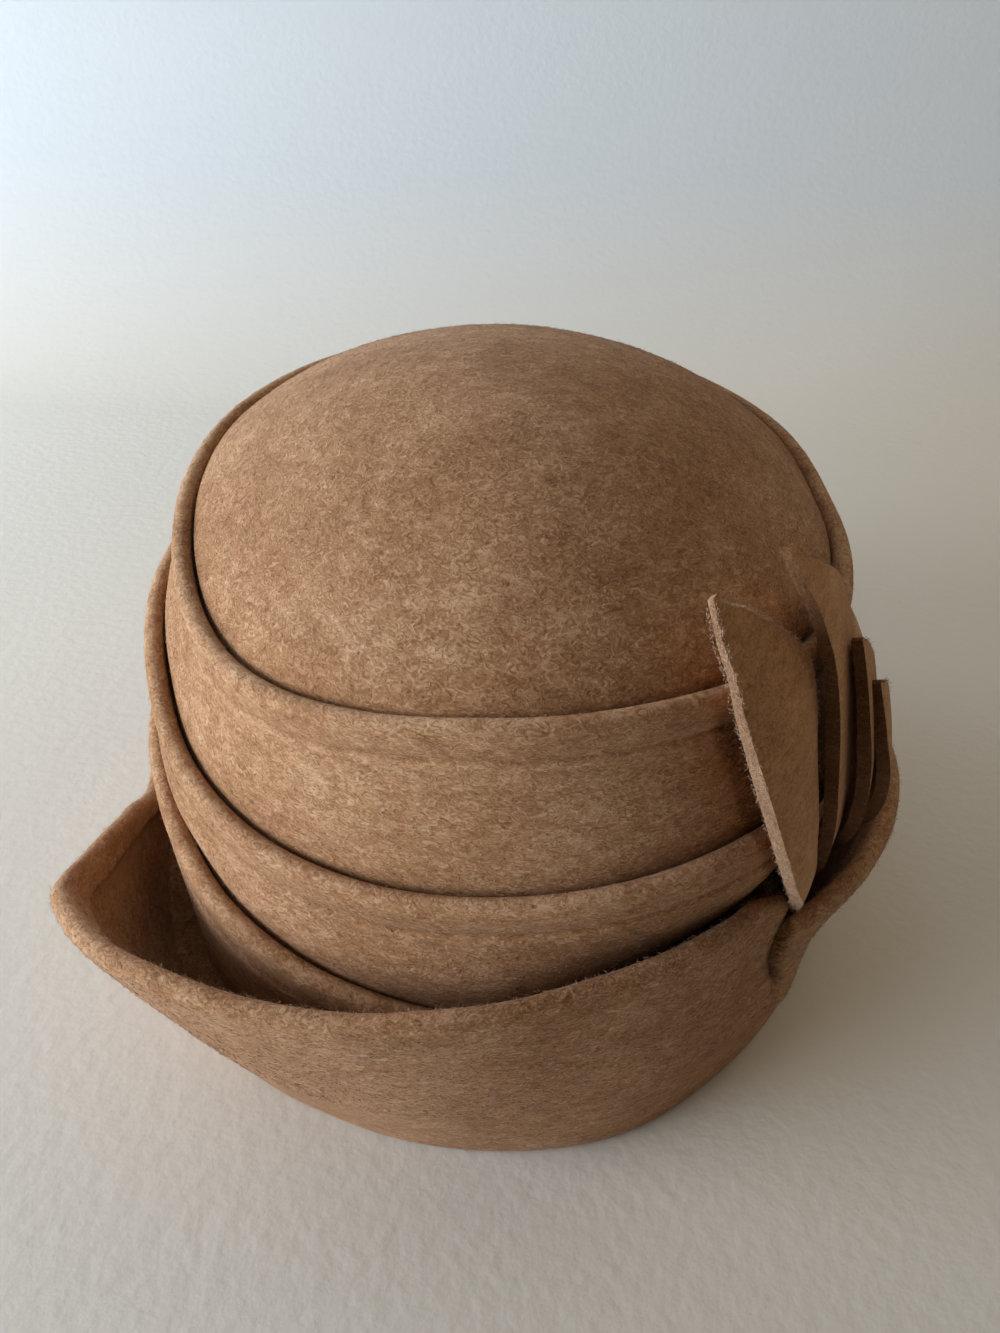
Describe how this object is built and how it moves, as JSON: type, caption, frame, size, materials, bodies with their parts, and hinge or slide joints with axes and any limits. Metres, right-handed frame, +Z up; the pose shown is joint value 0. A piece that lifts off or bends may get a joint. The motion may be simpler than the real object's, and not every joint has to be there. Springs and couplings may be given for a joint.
{
  "type": "cloche hat",
  "caption": "Felt cloche hat with tucks round the crown, a turned-up cuff brim that flares at one side, and felt leaves at the other.",
  "frame": {"origin": "middle of the hat's outline seen from above, at the height of the brim's bottom fold that it rests on", "axes": "+Z up from the fold to the top of the crown, -Y towards the front of the turned-up cuff, +X towards the side with the leaves"},
  "size_m": [0.2003, 0.2284, 0.132],
  "materials": {
    "body_felt": "brushed wool felt with a short nap",
    "leaf_felt": "wool felt with raw cut edges"
  },
  "bodies": {
    "root": {"felt_body": "body_felt", "leaf_1": "leaf_felt", "leaf_2": "leaf_felt", "leaf_3": "leaf_felt", "leaf_4": "leaf_felt"}
  },
  "joints": []
}
